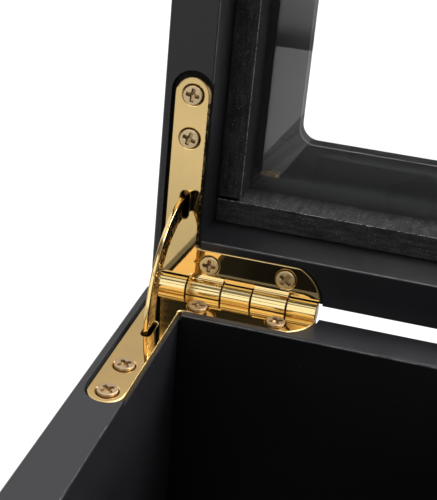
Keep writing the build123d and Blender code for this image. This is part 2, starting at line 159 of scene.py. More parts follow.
def material(name):
    mat = bpy.data.materials.new(name)
    mat.use_nodes = True
    return mat, Nodes(mat.node_tree), mat.node_tree.nodes["Principled BSDF"]


def grey(v, tint=(1, 1, 1)):
    return (v * tint[0], v * tint[1], v * tint[2], 1.0)


# ------------------------------------------------------------------ studio
world = bpy.data.worlds.new("studio")
scene.world = world
world.use_nodes = True
w = Nodes(world.node_tree)
bg = world.node_tree.nodes["Background"]
way = w.vec("NORMALIZE", w.new("ShaderNodeTexCoord").outputs["Generated"])
up = w.new("ShaderNodeSeparateXYZ", {0: way}).outputs[2]
sep = w.new("ShaderNodeSeparateXYZ", {0: way})
east, fwd = sep.outputs[0], w.math("MULTIPLY", sep.outputs[1], -1.0)
across = w.math("DIVIDE", east, w.math("MAXIMUM", fwd, 0.02))
rise = w.math("DIVIDE", up, w.math("SQRT", w.math("SUBTRACT", 1.0001, w.math("MULTIPLY", up, up))))
in_front = w.ramp(fwd, 0.02, 0.22)


def window_(value, a, b, c, d):
    """one between b and c, soft from a to b and from c to d"""
    return w.math("MULTIPLY", w.ramp(value, a, b), w.ramp(value, c, d, 1.0, 0.0))


# room behind the object: an even wall, brighter above
behind = w.math("ADD", w.ramp(up, 0.55, 0.66, 0.62, 1.50), w.ramp(up, 0.7, 0.9, 0.0, -0.35))
# room in front of it: a tall bright panel in a dim room, a dark gap above it and then the ceiling
panel = window_(across, -0.72, -0.52, -0.03, 0.12)
facing = w.math("ADD", 0.16, w.math("MULTIPLY", panel, w.ramp(up, 0.83, 0.87, 1.29, 0.12)))
facing = w.math("ADD", facing, w.ramp(up, 0.955, 0.985, 0.0, 1.0))
facing = w.math("MULTIPLY", facing, w.ramp(up, -0.16, 0.02, 0.33, 1.0))
level = w.mix(in_front, w.new("ShaderNodeCombineXYZ", {0: behind, 1: behind, 2: behind}).outputs[0],
              w.new("ShaderNodeCombineXYZ", {0: facing, 1: facing, 2: facing}).outputs[0])
# dark board hanging in the panel, and the dim gap between the table's edge and the panel
board = w.math("MULTIPLY", window_(across, -0.345, -0.325, -0.19, -0.15), window_(rise, 0.63, 0.67, 0.80, 0.815))
board = w.math("MULTIPLY", board, in_front)
low = w.math("MULTIPLY", w.math("MULTIPLY", window_(up, -0.178, -0.174, -0.157, -0.137), w.ramp(fwd, 0.75, 0.85)), 0.93)
under = w.math("MULTIPLY", w.ramp(up, -0.178, -0.174, 1.0, 0.0), in_front)
level = w.mix(board, level, (0.02, 0.03, 0.06, 1))
level = w.mix(under, level, (0.90, 0.90, 0.90, 1))
level = w.mix(low, level, (0.05, 0.05, 0.055, 1))
w.put(bg.inputs["Color"], level)
bg.inputs["Strength"].default_value = 1.0

floor_mesh = bpy.data.meshes.new("floor")
floor_mesh.from_pydata([(-4, -0.56, 0), (4, -0.56, 0), (4, 4, 0), (-4, 4, 0)], [], [(0, 1, 2, 3)])
floor = bpy.data.objects.new("floor", floor_mesh)
scene.collection.objects.link(floor)
fm, n_, p = material("floor_paint")
north = n_.new("ShaderNodeSeparateXYZ", {0: n_.coords()}).outputs[1]
# the floor glows; the glow is painted light, stronger towards the back, less a band of painted shadow across the floor
# near the box
painted_back_glow = n_.ramp(north, -0.10, 0.08)
painted_shadow_band = n_.math("MULTIPLY", n_.ramp(north, -0.29, -0.11), n_.ramp(north, -0.05, 0.03, 0.12, 0.0))
n_.put(p.inputs["Base Color"], n_.mix(n_.noise(n_.coords(), 3.0, 3), grey(0.19), grey(0.21)))
p.inputs["Roughness"].default_value = 0.9
p.inputs["Specular IOR Level"].default_value = 0.1
p.inputs["Emission Color"].default_value = (1, 1, 1, 1)
glow = n_.math("ADD", 0.45, n_.math("MULTIPLY", painted_back_glow, 0.30))
n_.put(p.inputs["Emission Strength"], n_.math("SUBTRACT", glow, painted_shadow_band))
floor_mesh.materials.append(fm)


def lamp(name, loc, target, size, watts, colour=(1, 1, 1)):
    data = bpy.data.lights.new(name, "AREA")
    data.shape = "RECTANGLE"
    data.size, data.size_y = size
    data.energy = watts
    data.color = colour
    o = bpy.data.objects.new(name, data)
    scene.collection.objects.link(o)
    o.location = loc
    o.rotation_euler = (Vector(target) - Vector(loc)).to_track_quat("-Z", "Y").to_euler()
    return o


lamp("top_softbox", (0.45, 0.50, 1.15), (-0.05, 0.05, 0.05), (1.1, 0.9), 40.0)
lamp("right_softbox", (1.2, -0.2, 0.75), (-0.1, 0.05, 0.05), (0.6, 0.9), 1.5)


# ------------------------------------------------------------------ materials
def lacquer_material(name, rough=(0.26, 0.36), black=0.0135, dust=0.06, rim=None, line=0.085, sink=0.0):
    m, n, p = material(name)
    v = n.coords()
    cloud = n.noise(v, 22.0, 4, 0.55)
    fine = n.noise(v, 240.0, 3, 0.6)
    specks = n.ramp(n.cells(v, 420.0), 0.05, 0.085, 1.0, 0.0)
    few = n.ramp(n.noise(v, 130.0, 2), 0.60, 0.68)
    spot = n.math("MULTIPLY", specks, few)
    base = n.mix(cloud, grey(black * 0.8, (1, 0.99, 1.2)), grey(black * 1.2, (1, 0.98, 1.2)))
    if rim:
        frame_, side = rim
        start = (frame_ @ Vector((0, 0, side * RIM_GAP))) * MM
        inward = frame_.to_3x3() @ Vector((0, 0, side))
        deep = n.vec("DOT_PRODUCT", n.vec("SUBTRACT", v, tuple(start)), tuple(inward))
        deep = n.math("MULTIPLY", deep, 1000.0)
        # painted shade: the lacquer darkens from 3 mm below the rim down to the given depth
        if sink:
            base = n.mix(n.ramp(deep, 3.0, sink), base, grey(black * 0.42, (1, 0.99, 1.2)))
        # painted highlight: a light line along the rim's arris, broken up by noise
        wear_and_highlight = n.math("MULTIPLY", n.ramp(deep, 0.30, 0.62, 1.0, 0.0),
                      n.ramp(n.noise(v, 300.0, 3, 0.7), 0.30, 0.60, 0.35, 1.0))
        base = n.mix(wear_and_highlight, base, grey(line, (1, 0.99, 1.02)))
    p.inputs["IOR"].default_value = 1.46
    n.put(p.inputs["Base Color"], n.mix(n.math("MULTIPLY", spot, dust * 4), base, grey(0.25)))
    smear = n.ramp(n.noise(n.coords((6, 90, 6)), 3.0, 3), 0.35, 0.75)
    r = n.math("ADD", n.ramp(cloud, 0.3, 0.7, rough[0], rough[1]), n.math("MULTIPLY", smear, 0.03))
    n.put(p.inputs["Roughness"], n.math("ADD", r, n.math("MULTIPLY", spot, 0.3)))
    peel = n.noise(v, 520.0, 2, 0.4)
    b = n.bump(peel, 0.00002, 0.35)
    b = n.bump(n.math("ADD", fine, n.math("MULTIPLY", spot, 2.0)), 0.00003, 0.3, b)
    n.put(p.inputs["Normal"], b)
    return m


lacquer = lacquer_material("black_lacquer_coat", (0.26, 0.36), 0.011)
# darker copies of the same lacquer for the inside of the box and the lid stand in for shade; the side walls' inner
# faces get a lighter copy for light from the side, with painted shade lower down; each carries a painted highlight
# along its rim arris
shaded_inner_lacquer = lacquer_material("black_inside_painted_shade", (0.30, 0.42), 0.006, 0.10, (BOXM, -1), 0.24)
shaded_lid_lacquer = lacquer_material("black_lid_inside_painted_shade", (0.32, 0.44), 0.0035, 0.10, (LIDM, 1))
shaded_lid_lacquer.node_tree.nodes["Principled BSDF"].inputs["IOR"].default_value = 1.36
lit_side_lacquer = lacquer_material("black_sides_painted_light_and_shade", (0.30, 0.42), 0.015, 0.12, (BOXM, -1), 0.04, 24.0)
divider_lacquer = lacquer_material("divider_lacquer_coat", (0.34, 0.46), 0.010, 0.08)

# routed beds of the hinges: bare, soaked with black, a little furry
routed, n, p = material("routed_bed")
v = n.coords()
fur = n.noise(v, 1500.0, 4, 0.7)
n.put(p.inputs["Base Color"], n.mix(n.ramp(fur, 0.4, 0.75), grey(0.003), grey(0.016, (1.2, 0.95, 0.75))))
p.inputs["Roughness"].default_value = 0.95
n.put(p.inputs["Normal"], n.bump(fur, 0.0002, 0.8))

# cut edge of the window opening
raw_edge, n, p = material("window_cut_edge")
v = n.coords()
grain = n.noise(v, 1300.0, 4, 0.7)
blot = n.noise(v, 160.0, 3, 0.6)
tone = n.ramp(n.math("ADD", n.math("MULTIPLY", grain, 0.7), n.math("MULTIPLY", blot, 0.3)), 0.38, 0.72)
out = LIDM.to_3x3() @ Vector((0, 0, 1))
start = (LIDM @ Vector((0, 0, Z1))) * MM
deep = n.vec("SUBTRACT", n.new("ShaderNodeTexCoord").outputs["Object"], tuple(start))
deep = n.math("MULTIPLY", n.vec("DOT_PRODUCT", deep, tuple(out)), 1000.0)
deep = n.math("ADD", deep, n.math("MULTIPLY", n.math("SUBTRACT", blot, 0.5), 0.9))
# painted highlights: light lines along both arrises of the cut edge
arris_highlight_lines = n.math("MAXIMUM", n.ramp(deep, 0.35, 0.75, 1.0, 0.0), n.ramp(deep, TOP_T - 0.7, TOP_T - 0.3))
dull = n.mix(tone, grey(0.002), grey(0.016, (1, 1, 1.04)))
n.put(p.inputs["Base Color"], n.mix(arris_highlight_lines, dull, grey(0.075)))
p.inputs["Specular IOR Level"].default_value = 0.06
p.inputs["Roughness"].default_value = 0.7
n.put(p.inputs["Normal"], n.bump(grain, 0.0002, 0.8))


def brass_material(name, colour, rough, streak=0.0, pits=0.06):
    m, n, p = material(name)
    v = n.coords()
    patch = n.noise(v, 90.0, 4, 0.6)
    dark = tuple(c * 0.93 for c in colour)
    n.put(p.inputs["Base Color"], n.mix(n.ramp(patch, 0.3, 0.7), dark + (1,), colour + (1,)))
    p.inputs["Metallic"].default_value = 1.0
    speck = n.noise(v, 2600.0, 2, 0.6)
    hair = n.noise(n.coords((14, 900, 900), (0, 0, 0.35)), 1.0, 3, 0.6)
    n.put(p.inputs["Roughness"], n.ramp(n.math("ADD", n.math("MULTIPLY", patch, 0.5), n.math("MULTIPLY", hair, 0.5)), 0.3, 0.7, rough[0], rough[1]))
    wave = n.noise(v, 60.0, 2, 0.4)
    b = n.bump(wave, 0.00006, 0.35)
    b = n.bump(speck, 0.00002, pits, b)
    if streak:
        lines = n.noise(n.coords((10, 1300, 1300)), 1.0, 1, 0.5)
        b = n.bump(lines, 0.00005, streak, b)
    n.put(p.inputs["Normal"], b)
    return m


GOLD = (0.80, 0.58, 0.255)
brass = brass_material("polished_brass_plate", GOLD, (0.02, 0.05))
brass_low = brass_material("polished_brass_box", (0.80, 0.545, 0.225), (0.02, 0.05))
brass_barrel = brass_material("drawn_brass_barrel", (0.80, 0.62, 0.29), (0.09, 0.15), 0.7)
brass_stay = brass_material("brass_stay", GOLD, (0.03, 0.06), 0.1, 0.2)
brass_edge = brass_material("sheared_brass_edge", (0.66, 0.48, 0.215), (0.34, 0.46), 0.0, 0.4)
# lighter and darker copies of the same plating: painted light on the lid's arm screws, painted shade on the box's
# screws
screw_metal = brass_material("screw_plating", (0.66, 0.51, 0.30), (0.24, 0.36), 0.12, 0.5)
lit_screw_plating = brass_material("screw_painted_light", (0.92, 0.73, 0.42), (0.40, 0.52), 0.12, 0.5)
shaded_screw_plating = brass_material("screw_painted_shade", (0.47, 0.345, 0.21), (0.34, 0.46), 0.12, 0.5)

# inner edge of the lid leaf: near-black, with bright gold spots along it
speckled_edge, n, p = material("dark_edge_gold_spots")
v = n.coords()
gold_spots = n.ramp(n.math("ADD", n.noise(v, 1500.0, 2, 0.6), n.math("MULTIPLY", n.noise(v, 300.0, 2), 0.3)), 0.68, 0.76)
n.put(p.inputs["Base Color"], n.mix(gold_spots, (0.03, 0.018, 0.007, 1), (0.92, 0.68, 0.30, 1)))
p.inputs["Metallic"].default_value = 1.0
p.inputs["Roughness"].default_value = 0.3
n.put(p.inputs["Normal"], n.bump(n.noise(v, 1800.0, 2), 0.00003, 0.5))

# flat sides of the stay: blanked out of sheet, with drag marks across the bar; the colour is painted reflection, gold
# streaks towards the box end and near-black towards the lid end
brass_flank, n, p = material("blanked_brass_side")
v = n.coords()
off = n.vec("SUBTRACT", n.new("ShaderNodeTexCoord").outputs["Object"], (0.0, HY * MM, HZ * MM))
parts = n.new("ShaderNodeSeparateXYZ", {0: off})
bend = n.math("ARCTAN2", parts.outputs[2], parts.outputs[1])
reach = n.vec("LENGTH", n.new("ShaderNodeCombineXYZ", {1: parts.outputs[1], 2: parts.outputs[2]}).outputs[0])
polar = n.new("ShaderNodeCombineXYZ", {0: n.math("MULTIPLY", bend, 0.0192), 1: n.math("MULTIPLY", reach, 0.16)}).outputs[0]
drag = n.noise(polar, 1500.0, 2, 0.6)
stain = n.noise(v, 420.0, 3, 0.6)
streak_mix = n.math("ADD", n.math("MULTIPLY", drag, 0.62), n.math("MULTIPLY", stain, 0.38))
painted_reflection_zone = n.ramp(bend, math.radians(102), math.radians(136))
bright = n.mix(painted_reflection_zone, (0.16, 0.10, 0.035, 1), (0.86, 0.63, 0.26, 1))
shade = n.mix(painted_reflection_zone, (0.03, 0.018, 0.006, 1), (0.42, 0.25, 0.08, 1))
n.put(p.inputs["Base Color"], n.mix(n.ramp(streak_mix, 0.44, 0.58), shade, bright))
p.inputs["Metallic"].default_value = 1.0
matt = n.ramp(bend, math.radians(146), math.radians(162))
n.put(p.inputs["Roughness"], n.math("ADD", n.ramp(streak_mix, 0.35, 0.65, 0.16, 0.07), n.math("MULTIPLY", matt, 0.26)))
rungs = n.math("MULTIPLY", n.ramp(bend, math.radians(98), math.radians(106)), n.ramp(bend, math.radians(146), math.radians(156), 1.0, 0.0))
rungs = n.math("MULTIPLY", rungs, n.noise(polar, 760.0, 1, 0.5))
b = n.bump(rungs, 0.00035, 1.0, n.bump(drag, 0.00006, 0.7))
n.put(p.inputs["Normal"], n.bump(n.noise(v, 1900.0, 2), 0.00003, 0.3, b))

# dark brass on the knuckle ends and the pins: painted shade in the gaps between the knuckles
gap_shade_brass, n, p = material("knuckle_gap_painted_shade")
v = n.coords()
n.put(p.inputs["Base Color"], n.mix(n.ramp(n.noise(v, 900.0, 3), 0.35, 0.65), (0.10, 0.045, 0.012, 1), (0.26, 0.14, 0.05, 1)))
p.inputs["Metallic"].default_value = 0.7
p.inputs["Roughness"].default_value = 0.42
n.put(p.inputs["Normal"], n.bump(n.noise(v, 1600.0, 2), 0.00003, 0.5))

# the cross recess of the screws: darker plating, partly grime and partly painted shade in the recess
recess, n, p = material("screw_recess")
v = n.coords()
n.put(p.inputs["Base Color"], n.mix(n.ramp(n.noise(v, 1100.0, 3), 0.35, 0.65), (0.30, 0.19, 0.085, 1), (0.52, 0.37, 0.19, 1)))
p.inputs["Metallic"].default_value = 0.85
p.inputs["Roughness"].default_value = 0.36
n.put(p.inputs["Normal"], n.bump(n.noise(v, 1800.0, 2), 0.00003, 0.5))

# back of the top panel around the window, behind the glass: matt paint
behind_glass, n, p = material("panel_paint")
v = n.coords()
paint = n.mix(n.noise(v, 60.0, 4, 0.6), grey(0.046, (1, 1, 1.05)), grey(0.064, (1, 1, 1.03)))
# painted light: a lighter band of the paint beside the back and front strips
outward = LIDM.to_3x3() @ Vector((0, -1, 0))
reach = n.vec("DOT_PRODUCT", n.vec("SUBTRACT", v, tuple(LIDM.translation * MM)), tuple(outward))
reach = n.math("MULTIPLY", reach, 1000.0)
painted_light_band = n.math("MAXIMUM", n.ramp(reach, S_IN + STRIP_W + 3.0, S_IN + STRIP_W + 5.5, 1.0, 0.0),
                n.ramp(reach, S_OUT - STRIP_W - 5.5, S_OUT - STRIP_W - 3.0))
n.put(p.inputs["Base Color"], n.mix(painted_light_band, paint, grey(0.120, (1, 1, 1.03))))
p.inputs["Roughness"].default_value = 0.7
p.inputs["Specular IOR Level"].default_value = 0.2
n.put(p.inputs["Normal"], n.bump(n.noise(v, 900.0, 3), 0.00005, 0.5))


def board_material(name, along, top=0.055, shine=0.5):
    """rough fibre board stained black, its fibres lying along one axis"""
    m, n, p = material(name)
    v = n.coords()
    scale = [900.0, 900.0, 900.0]
    scale[along] = 160.0
    fibre = n.noise(n.coords(tuple(scale)), 1.0, 5, 0.75)
    grain = n.noise(v, 2100.0, 3, 0.7)
    mound = n.noise(v, 330.0, 3, 0.6)
    tone = n.ramp(n.math("ADD", n.math("MULTIPLY", fibre, 0.6), n.math("MULTIPLY", grain, 0.4)), 0.37, 0.70)
    base = n.mix(tone, grey(0.003), grey(top, (1, 0.99, 1.06)))
    pale = n.math("MULTIPLY", n.ramp(n.cells(v, 1300.0), 0.10, 0.2, 1.0, 0.0), n.ramp(mound, 0.5, 0.62))
    wear_and_highlight = n.new("ShaderNodeAttribute", attribute_name="wear").outputs["Fac"]
    chips = n.ramp(n.math("ADD", n.noise(v, 1700.0, 3, 0.7), n.math("MULTIPLY", n.noise(v, 260.0, 2), 0.5)), 0.62, 0.78)
    rub = n.math("MULTIPLY", wear_and_highlight, chips)
    pale = n.math("MAXIMUM", n.math("MULTIPLY", pale, 0.4), rub)
    n.put(p.inputs["Base Color"], n.mix(pale, base, grey(0.50, (1, 0.99, 0.98))))
    p.inputs["Roughness"].default_value = 0.82
    p.inputs["Specular IOR Level"].default_value = shine
    b = n.bump(mound, 0.0003, 0.5)
    b = n.bump(n.math("ADD", fibre, grain), 0.00022, 0.9, b)
    n.put(p.inputs["Normal"], b)
    return m


board_x = board_material("rough_board_long", 0, 0.062)
board_s = board_material("rough_board_short", 2)
# darker copies of the board for the strips' sides facing the window: painted shade
board_shaded_short_side = board_material("board_short_side_painted_shade", 2, 0.008, 0.15)
board_shaded_long_side = board_material("board_long_side_painted_shade", 1, 0.036, 0.2)

glass, n, p = material("window_glass")
p.inputs["Base Color"].default_value = (0.985, 1.0, 0.99, 1)
p.inputs["Roughness"].default_value = 0.0
p.inputs["IOR"].default_value = 1.78
p.inputs["Transmission Weight"].default_value = 1.0
n.put(p.inputs["Normal"], n.bump(n.noise(n.coords(), 14.0, 2), 0.00003, 0.3))

felt_mat, n, p = material("pressed_felt")
v = n.coords()
wool = n.noise(v, 1500.0, 4, 0.75, 0.6)
n.put(p.inputs["Base Color"], n.mix(n.ramp(wool, 0.3, 0.7), grey(0.006), grey(0.03)))
p.inputs["Roughness"].default_value = 1.0
p.inputs["Sheen Weight"].default_value = 0.25
n.put(p.inputs["Normal"], n.bump(wool, 0.0004, 0.8))


# ------------------------------------------------------------------ mesh helpers
class Shape:
    """vertices in millimetres in a hinge frame, with x from the hinge's outer edge"""

    def __init__(self):
        self.v, self.f, self.smooth, self.mat = [], [], [], []

    def add(self, verts, faces, smooth=False, mat=0):
        o = len(self.v)
        self.v += [tuple(q) for q in verts]
        self.f += [[i + o for i in f] for f in faces]
        self.smooth += [smooth] * len(faces)
        self.mat += mat if isinstance(mat, list) else [mat] * len(faces)

    def piece(self, name, matrix, mirror, mats, offset=HX, sharp=None):
        s = -1.0 if mirror else 1.0
        verts = []
        for x, y, z in self.v:
            q = matrix @ Vector((s * (offset + x), y, z))
            verts.append(tuple(q * MM))
        me = bpy.data.meshes.new(name)
        me.from_pydata(verts, [], self.f)
        for m in mats:
            me.materials.append(m)
        me.polygons.foreach_set("use_smooth", self.smooth)
        me.polygons.foreach_set("material_index", self.mat)
        bm = bmesh.new()
        bm.from_mesh(me)
        bmesh.ops.remove_doubles(bm, verts=bm.verts, dist=1e-7)
        bmesh.ops.dissolve_degenerate(bm, dist=1e-8, edges=bm.edges)
        bmesh.ops.recalc_face_normals(bm, faces=bm.faces)
        if sharp:
            for e in bm.edges:
                if len(e.link_faces) == 2 and e.calc_face_angle(0) > sharp:
                    e.smooth = False
        bm.to_mesh(me)
        bm.free()
        ob = bpy.data.objects.new(name, me)
        scene.collection.objects.link(ob)
        return ob


def arc3(p0, pm, p1, steps):
    """points of the circle through three points, without the last one"""
    ax, ay = p0
    bx, by = pm
    cx, cy = p1
    d = 2 * (ax * (by - cy) + bx * (cy - ay) + cx * (ay - by))
    ux = ((ax * ax + ay * ay) * (by - cy) + (bx * bx + by * by) * (cy - ay) + (cx * cx + cy * cy) * (ay - by)) / d
    uy = ((ax * ax + ay * ay) * (cx - bx) + (bx * bx + by * by) * (ax - cx) + (cx * cx + cy * cy) * (bx - ax)) / d
    r = math.hypot(ax - ux, ay - uy)
    a0, am, a1 = (math.atan2(q[1] - uy, q[0] - ux) for q in (p0, pm, p1))
    turn = (a1 - a0) % (2 * math.pi)
    if (am - a0) % (2 * math.pi) > turn:
        turn -= 2 * math.pi
    return [(ux + r * math.cos(a0 + turn * k / steps), uy + r * math.sin(a0 + turn * k / steps)) for k in range(steps)]


def line2(p0, p1, step=1.5):
    n = max(1, int(math.dist(p0, p1) / step))
    return [(p0[0] + (p1[0] - p0[0]) * k / n, p0[1] + (p1[1] - p0[1]) * k / n) for k in range(n)]


def area2(loop):
    return sum(a[0] * b[1] - b[0] * a[1] for a, b in zip(loop, loop[1:] + loop[:1])) / 2


def inset(loop, d):
    """loop moved into the material by d; an outline runs anticlockwise and a hole clockwise"""
    out = []
    for i, q in enumerate(loop):
        a, b = loop[i - 1], loop[(i + 1) % len(loop)]
        e1, e2 = Vector((q[0] - a[0], q[1] - a[1])), Vector((b[0] - q[0], b[1] - q[1]))
        n1, n2 = Vector((e1.y, -e1.x)).normalized(), Vector((e2.y, -e2.x)).normalized()
        h = (n1 + n2) / max(0.45, 1 + n1.dot(n2))
        out.append((q[0] - h.x * d, q[1] - h.y * d))
    return out


def plate(shape, outer, holes, side, z, thick, bevel, hole_bevel, mat, edge_mat):
    """flat plate with rounded face edges; depth runs to side from height side * z"""
    loops = [outer if area2(outer) > 0 else outer[::-1]]
    loops += [h if area2(h) < 0 else h[::-1] for h in holes]
    steps = 4
    tops, lows = [], []
    for k, loop in enumerate(loops):
        radii = [bevel(q) if k == 0 else hole_bevel[k - 1] for q in loop]
        unit = inset(loop, 1.0)
        rings = []
        for j in range(steps + 1):
            a = math.pi / 2 * j / steps
            ring = []
            for (x, y), (ux, uy), r in zip(loop, unit, radii):
                d = r * (1 - math.sin(a))
                ring.append((x + (ux - x) * d, y + (uy - y) * d, side * (z + r * (1 - math.cos(a)))))
            rings.append(ring)
        rings.append([(x, y, side * (z + thick)) for x, y in loop])
        n = len(loop)
        for j in range(len(rings) - 1):
            own = [edge_mat(q) for q in loops[k]] if k < 2 else mat
            shape.add(rings[j] + rings[j + 1],
                      [[i, (i + 1) % n, n + (i + 1) % n, n + i] for i in range(n)], j < steps, own)
        tops.append(rings[0])
        lows.append(rings[-1])
    for group in (tops, lows):
        flat = [q for loop in group for q in loop]
        tris = tessellate_polygon([[Vector(q) for q in loop] for loop in group])
        shape.add(flat, [list(t) for t in tris], False, mat)


def leaf_path(side):
    """outline of a leaf as (x, y), y negative towards the front; knuckle cut-outs along the axis"""
    cut, r = -2.43, 0.7
    pts = []
    first = 0 if side < 0 else 1
    own = [(KNUCKLES[i] + 0.12, KNUCKLES[i + 1] - 0.12) for i in range(first, 5, 2)]
    pts += line2((0, -2.2 if side < 0 else cut), (0, -(LEG_TIP - LEG_W / 2)))
    pts += arc3((0, -(LEG_TIP - LEG_W / 2)), (LEG_W / 2, -LEG_TIP), (LEG_W, -(LEG_TIP - LEG_W / 2)), 40)
    pts += line2((LEG_W, -(LEG_TIP - LEG_W / 2)), (LEG_W, -(ARM_S + r)))
    pts += arc3((LEG_W, -(ARM_S + r)), (LEG_W + 0.2929 * r, -(ARM_S + 0.2929 * r)), (LEG_W + r, -ARM_S), 8)
    pts += line2((LEG_W + r, -ARM_S), (31.9, -ARM_S))
    end = arc3((31.9, -ARM_S), (35.8, -6.3), (ARM_X, -0.9), 28)
    pts += [q for q in end if q[1] < cut - 0.02]
    xr = [q for q in end if q[1] < cut - 0.02][-1][0]
    x = max(xr, 36.9)
    pts.append((x, cut))
    for a, b in reversed(own):
        b = min(b, x - 0.01)
        a = max(a, 0.0)
        if abs(b - x) > 0.3:
            pts.append((b, cut))
        else:
            pts.pop()
            pts.append((x, cut))
            b = x - 0.6
            pts.append((b, cut))
        pts += [(b, -0.3), (a, -0.3), (a, cut)]
    if side < 0:
        pts = pts[:-1] + [(0.12, -2.2)]
    return pts


def slot_loop(n=12):
    x, r = (SLOT_X[0] + SLOT_X[1]) / 2, (SLOT_X[1] - SLOT_X[0]) / 2
    a, b = -SLOT_S[0] - r, -SLOT_S[1] + r
    out = []
    for k in range(n + 1):
        t = math.pi * k / n
        out.append((x + r * math.cos(t), a + r * math.sin(t)))
    for k in range(n + 1):
        t = math.pi + math.pi * k / n
        out.append((x + r * math.cos(t), b + r * math.sin(t)))
    return out


def round_hole(x, s, r, n=40):
    return [(x + r * math.cos(2 * math.pi * k / n), -s + r * math.sin(2 * math.pi * k / n)) for k in range(n)]


def knuckle(shape, x0, x1, side, seam, mat, dark):
    """rolled knuckle: a slightly uneven drawn tube, with a seam line beside it when seam is set; its fillet into the
    leaf is made by fillet_strip
    """
    rng = random.Random(int(x0 * 100) + side)
    lobes = [(rng.randint(7, 19), rng.random() * 6.28, 0.0045) for _ in range(4)]
    turn = 0.0
    count = 96
    prof = []
    for k in range(count):
        a = 2 * math.pi * k / count
        r = BARREL_R - 0.02 + sum(h * math.sin(m * a + q) for m, q, h in lobes)
        prof.append([a, r])
    cross = [(r * math.cos(a), r * math.sin(a)) for a, r in prof]
    if seam:
        # narrow groove where the rolled end meets its own leaf
        a_s = math.atan2(side * (LEAF_Z - 0.42), -2.2)
        out = []
        for (a, r), q in zip(prof, cross):
            d = (a - a_s + math.pi) % (2 * math.pi) - math.pi
            if abs(d) < 0.05:
                out.append((q[0] * 0.8, q[1] * 0.8))
            else:
                out.append(q)
        cross = out
    rings = []
    ends = ((-0.05, 0.50), (-0.045, 0.74), (-0.01, 0.88), (0.03, 0.945), (0.08, 0.982), (0.16, 1.0), (0.20, 1.0), (0.32, 1.0))
    for d, k in ends:
        rings.append([(x0 + d, y * k, z * k) for y, z in cross])
    for k in (0.25, 0.5, 0.75):
        waist = 1.0 - 0.0022 * math.sin(math.pi * k)
        rings.append([(x0 + (x1 - x0) * k, y * waist, z * waist) for y, z in cross])
    for d, k in reversed(ends):
        rings.append([(x1 - d, y * k, z * k) for y, z in cross])
    for j, (a, b) in enumerate(zip(rings, rings[1:])):
        # the end rings of the knuckles take the dark material, as painted shade in the gaps between knuckles
        end = (j < 5 and x0 > 0.5) or j > len(rings) - 7
        shape.add(a + b, [[i, (i + 1) % count, count + (i + 1) % count, count + i] for i in range(count)],
                  True, dark if end else mat)
    for ring in (rings[0], rings[-1]):
        shape.add(ring + [(ring[0][0], 0, 0)], [[i, (i + 1) % count, count] for i in range(count)], False, dark)


def fillet_strip(shape, x0, x1, side, mat, rf=1.3):
    """hollow where the lid leaf rolls over into its knuckle"""
    zc = side * (LEAF_Z - rf)
    yc = -math.sqrt((BARREL_R + rf) ** 2 - zc * zc)
    a0 = side * math.pi / 2
    p1 = (yc * BARREL_R / (BARREL_R + rf), zc * BARREL_R / (BARREL_R + rf))
    a1 = math.atan2(p1[1] - zc, p1[0] - yc)
    pts = []
    for k in range(13):
        a = a0 + (a1 - a0) * k / 12
        pts.append((yc + rf * math.cos(a), zc + rf * math.sin(a)))
    pts = [(pts[0][0] - 0.25, side * LEAF_Z + side * 0.004)] + pts + [(p1[0] * 0.9, p1[1] * 0.9 + side * 0.1)]
    back = [(-0.6, side * (LEAF_Z + 0.3)), (pts[0][0], side * (LEAF_Z + 0.5))]
    loop = pts + back
    n = len(loop)
    a = [(x0, y, z) for y, z in loop]
    b = [(x1, y, z) for y, z in loop]
    shape.add(a + b, [[i, (i + 1) % n, n + (i + 1) % n, n + i] for i in range(n)], True, mat)
    for ring in (a, b):
        tris = tessellate_polygon([[Vector(q) for q in ring]])
        shape.add(ring, [list(t) for t in tris], False, mat)


def make_leaf(name, matrix, side, mirror):
    s = Shape()
    places = BODY_SCREWS if side < 0 else LID_SCREWS
    holes = [slot_loop()] + [round_hole(x, q, HEAD_R + 0.12) for x, q in places]

    def rounding(q):
        if q[1] > -2.6 and q[0] > 0.2:
            return 0.10
        if q[0] < LEG_W + 0.3 and -(LEG_TIP - 5.0) < q[1] < -11.0:
            return (0.30 if side > 0 else 0.13) if q[0] > 4 else 0.12
        if side < 0 and LEG_W + 3.0 < q[0] < 30.0:
            return 0.05
        return 0.36 if q[0] > 0.2 else 0.14

    def edging(q):
        return 4 if side > 0 and q[0] > LEG_W - 0.5 and -(LEG_TIP - 5.0) < q[1] < -11.5 else 3

    plate(s, leaf_path(side), holes, side, LEAF_Z, LEAF_T - 0.02, rounding, [0.26] + [0.32] * 4, 0, edging)
    first = 0 if side < 0 else 1
    for i in range(first, 5, 2):
        x0, x1 = KNUCKLES[i] + 0.075, KNUCKLES[i + 1] - 0.075
        knuckle(s, x0, x1, side, side < 0, 1, 2)
        if side > 0:
            fillet_strip(s, x0 + 0.06, x1 - 0.06, side, 0)
    return s.piece(name, matrix, mirror, [brass_low if side < 0 else brass, brass_barrel, gap_shade_brass, brass_edge, speckled_edge], sharp=math.radians(35))


def cross_depth(x, y):
    """depth of the driver recess at a point of the head, its arms along x and y"""
    a, b = abs(x), abs(y)
    if a < b:
        a, b = b, a
    reach = 1.52
    if a > reach:
        return 0.0
    half = 0.52 - 0.08 * a
    wall = (half - b) / 0.10
    end = (reach - a) / 0.14
    corner = (0.66 - math.hypot(a, b)) / 0.10
    k = max(0.0, min(1.0, max(min(wall, end), corner)))
    return k * k * (3 - 2 * k) * (1.0 - 0.30 * a)


